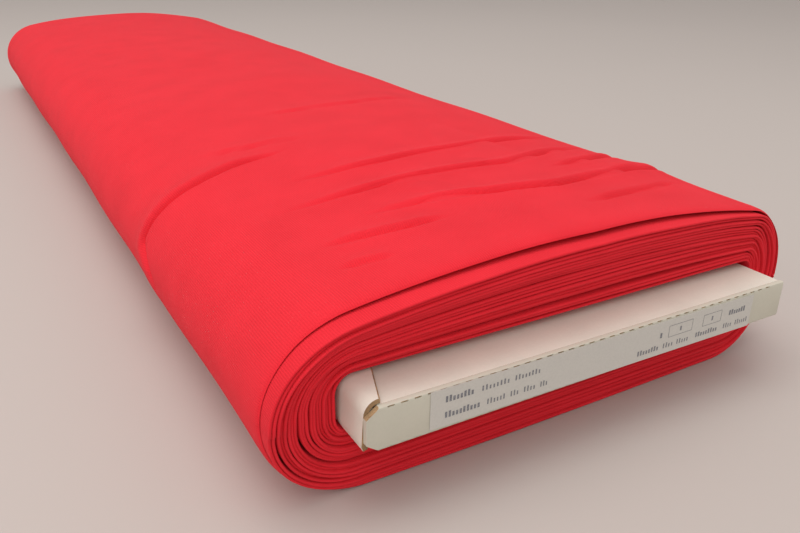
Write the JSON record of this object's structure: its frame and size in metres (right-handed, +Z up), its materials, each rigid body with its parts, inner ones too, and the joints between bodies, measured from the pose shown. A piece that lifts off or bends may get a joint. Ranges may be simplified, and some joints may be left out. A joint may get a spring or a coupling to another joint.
{
  "type": "fabric bolt",
  "caption": "Folded red jersey wound flat round a hollow white-lined cardboard bolt board, with hinged end flaps, a paper end label and a loose outer cloth end.",
  "frame": {"origin": "under the middle of the roll, on the surface that the bolt lies on", "axes": "+X across the bolt's width, +Y along its length towards the rear, with the labelled end at -Y, +Z up"},
  "size_m": [0.226, 0.7823, 0.0731],
  "materials": {
    "jersey": "matt fine-knit viscose jersey with a soft sheen",
    "lined_card": "matt white-lined card with brown cut edges",
    "brown_card": "matt unlined brown card",
    "label_paper": "satin self-adhesive paper"
  },
  "bodies": {
    "cloth_roll": {"cloth_turns_01_02": "jersey", "cloth_turns_03_04": "jersey", "cloth_turns_05_06": "jersey", "cloth_turns_07_08": "jersey", "cloth_turns_09_10": "jersey", "cloth_turns_11_12": "jersey", "cloth_turns_13_14": "jersey", "cloth_turns_15_16": "jersey", "cloth_turns_17_18": "jersey", "cloth_turn_19": "jersey", "cloth_outer_turn": "jersey"},
    "loose_end": {"cloth_loose_end": "jersey"},
    "bolt_board": {"board_top_panel": "lined_card", "board_bottom_panel": "lined_card", "board_left_side": "lined_card", "board_right_side": "lined_card", "board_glue_tab": "lined_card", "board_left_web": "brown_card", "board_right_web": "brown_card"},
    "front_end_flap": {"front_end_flap": "lined_card", "end_label": "label_paper"},
    "front_tuck_flap": {"front_tuck_flap": "lined_card"},
    "front_left_dust_flap": {"front_left_dust_flap": "lined_card"},
    "front_right_dust_flap": {"front_right_dust_flap": "lined_card"},
    "rear_end_flap": {"rear_end_flap": "lined_card"},
    "rear_tuck_flap": {"rear_tuck_flap": "lined_card"},
    "rear_left_dust_flap": {"rear_left_dust_flap": "lined_card"},
    "rear_right_dust_flap": {"rear_right_dust_flap": "lined_card"}
  },
  "joints": [
    {"name": "board_slide", "type": "slide", "parent": "cloth_roll", "child": "bolt_board", "axis": [0, -1, 0], "range_m": [0, 0.8]},
    {"name": "loose_end_hinge", "type": "hinge", "parent": "cloth_roll", "child": "loose_end", "pos_m": [0.09495, 0, 0.0646], "axis": [0, -1, 0], "range_deg": [0, 100]},
    {"name": "front_end_hinge", "type": "hinge", "parent": "bolt_board", "child": "front_end_flap", "pos_m": [0.0028, -0.3902, 0.0394], "axis": [-1, 0, 0], "range_deg": [0, 100]},
    {"name": "front_tuck_hinge", "type": "hinge", "parent": "front_end_flap", "child": "front_tuck_flap", "pos_m": [0.0028, -0.3902, 0.0266], "axis": [1, 0, 0], "range_deg": [0, 15]},
    {"name": "front_left_dust_hinge", "type": "hinge", "parent": "bolt_board", "child": "front_left_dust_flap", "pos_m": [-0.0845, -0.3883, 0.033], "axis": [0, 0, 1], "range_deg": [0, 85]},
    {"name": "front_right_dust_hinge", "type": "hinge", "parent": "bolt_board", "child": "front_right_dust_flap", "pos_m": [0.0901, -0.3883, 0.033], "axis": [0, 0, -1], "range_deg": [0, 85]},
    {"name": "rear_end_hinge", "type": "hinge", "parent": "bolt_board", "child": "rear_end_flap", "pos_m": [0.0028, 0.3902, 0.0394], "axis": [1, 0, 0], "range_deg": [0, 100]},
    {"name": "rear_tuck_hinge", "type": "hinge", "parent": "rear_end_flap", "child": "rear_tuck_flap", "pos_m": [0.0028, 0.3902, 0.0266], "axis": [-1, 0, 0], "range_deg": [0, 15]},
    {"name": "rear_left_dust_hinge", "type": "hinge", "parent": "bolt_board", "child": "rear_left_dust_flap", "pos_m": [-0.0845, 0.3883, 0.033], "axis": [0, 0, -1], "range_deg": [0, 85]},
    {"name": "rear_right_dust_hinge", "type": "hinge", "parent": "bolt_board", "child": "rear_right_dust_flap", "pos_m": [0.0901, 0.3883, 0.033], "axis": [0, 0, 1], "range_deg": [0, 85]}
  ]
}
